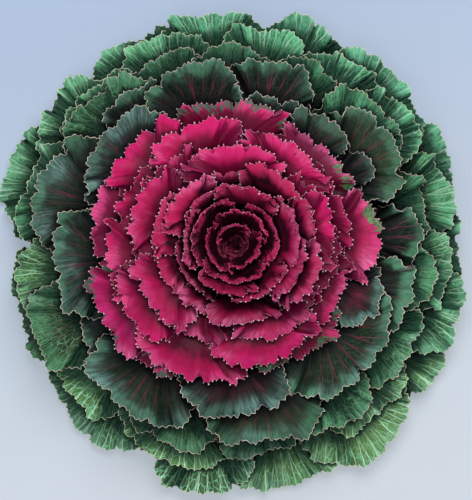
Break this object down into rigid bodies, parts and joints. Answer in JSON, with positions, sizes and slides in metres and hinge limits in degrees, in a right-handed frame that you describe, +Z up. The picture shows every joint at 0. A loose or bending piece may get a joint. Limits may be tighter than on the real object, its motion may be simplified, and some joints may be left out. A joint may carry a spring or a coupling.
{
  "type": "ornamental kale head",
  "caption": "Cut head of ornamental kale: rings of frilled green and dark veined leaves round a crowded magenta heart, on a short cut stem.",
  "frame": {"origin": "centre of the stem's flat cut end, which the head stands on", "axes": "+Z up along the stem towards the heart; the rosette spreads in X and Y"},
  "size_m": [0.2948, 0.304, 0.1092],
  "materials": {
    "stem": "matte",
    "green_leaf": "satin",
    "dark_leaf": "satin",
    "magenta_leaf": "satin"
  },
  "bodies": {
    "root": {"dark_leaf_01": "dark_leaf", "dark_leaf_02": "dark_leaf", "dark_leaf_03": "dark_leaf", "dark_leaf_04": "dark_leaf", "dark_leaf_05": "dark_leaf", "dark_leaf_06": "dark_leaf", "green_leaf_01": "green_leaf", "green_leaf_02": "green_leaf", "green_leaf_03": "green_leaf", "green_leaf_04": "green_leaf", "green_leaf_05": "green_leaf", "green_leaf_06": "green_leaf", "green_leaf_07": "green_leaf", "green_leaf_08": "green_leaf", "green_leaf_09": "green_leaf", "green_leaf_10": "green_leaf", "green_leaf_11": "green_leaf", "green_leaf_12": "green_leaf", "inner_green_leaf_01": "green_leaf", "inner_green_leaf_02": "green_leaf", "inner_green_leaf_03": "green_leaf", "inner_green_leaf_04": "green_leaf", "inner_green_leaf_05": "green_leaf", "inner_green_leaf_06": "green_leaf", "inner_green_leaf_07": "green_leaf", "inner_green_leaf_08": "green_leaf", "inner_green_leaf_09": "green_leaf", "inner_green_leaf_10": "green_leaf", "inner_green_leaf_11": "green_leaf", "inner_green_leaf_12": "green_leaf", "magenta_heart": "magenta_leaf", "outer_leaf_01": "green_leaf", "outer_leaf_02": "green_leaf", "outer_leaf_03": "green_leaf", "outer_leaf_04": "green_leaf", "outer_leaf_05": "green_leaf", "outer_leaf_06": "green_leaf", "outer_leaf_07": "green_leaf", "outer_leaf_08": "green_leaf", "outer_leaf_09": "green_leaf", "outer_leaf_10": "green_leaf", "outer_leaf_11": "green_leaf", "outer_leaf_12": "green_leaf", "outer_leaf_13": "green_leaf", "outer_leaf_14": "green_leaf", "outer_leaf_15": "green_leaf", "stem": "stem", "veined_leaf_01": "dark_leaf", "veined_leaf_02": "dark_leaf", "veined_leaf_03": "dark_leaf", "veined_leaf_04": "dark_leaf", "veined_leaf_05": "dark_leaf", "veined_leaf_06": "dark_leaf", "veined_leaf_07": "dark_leaf", "veined_leaf_08": "dark_leaf", "veined_leaf_09": "dark_leaf", "veined_leaf_10": "dark_leaf", "veined_leaf_11": "dark_leaf", "veined_leaf_12": "dark_leaf"}
  },
  "joints": []
}
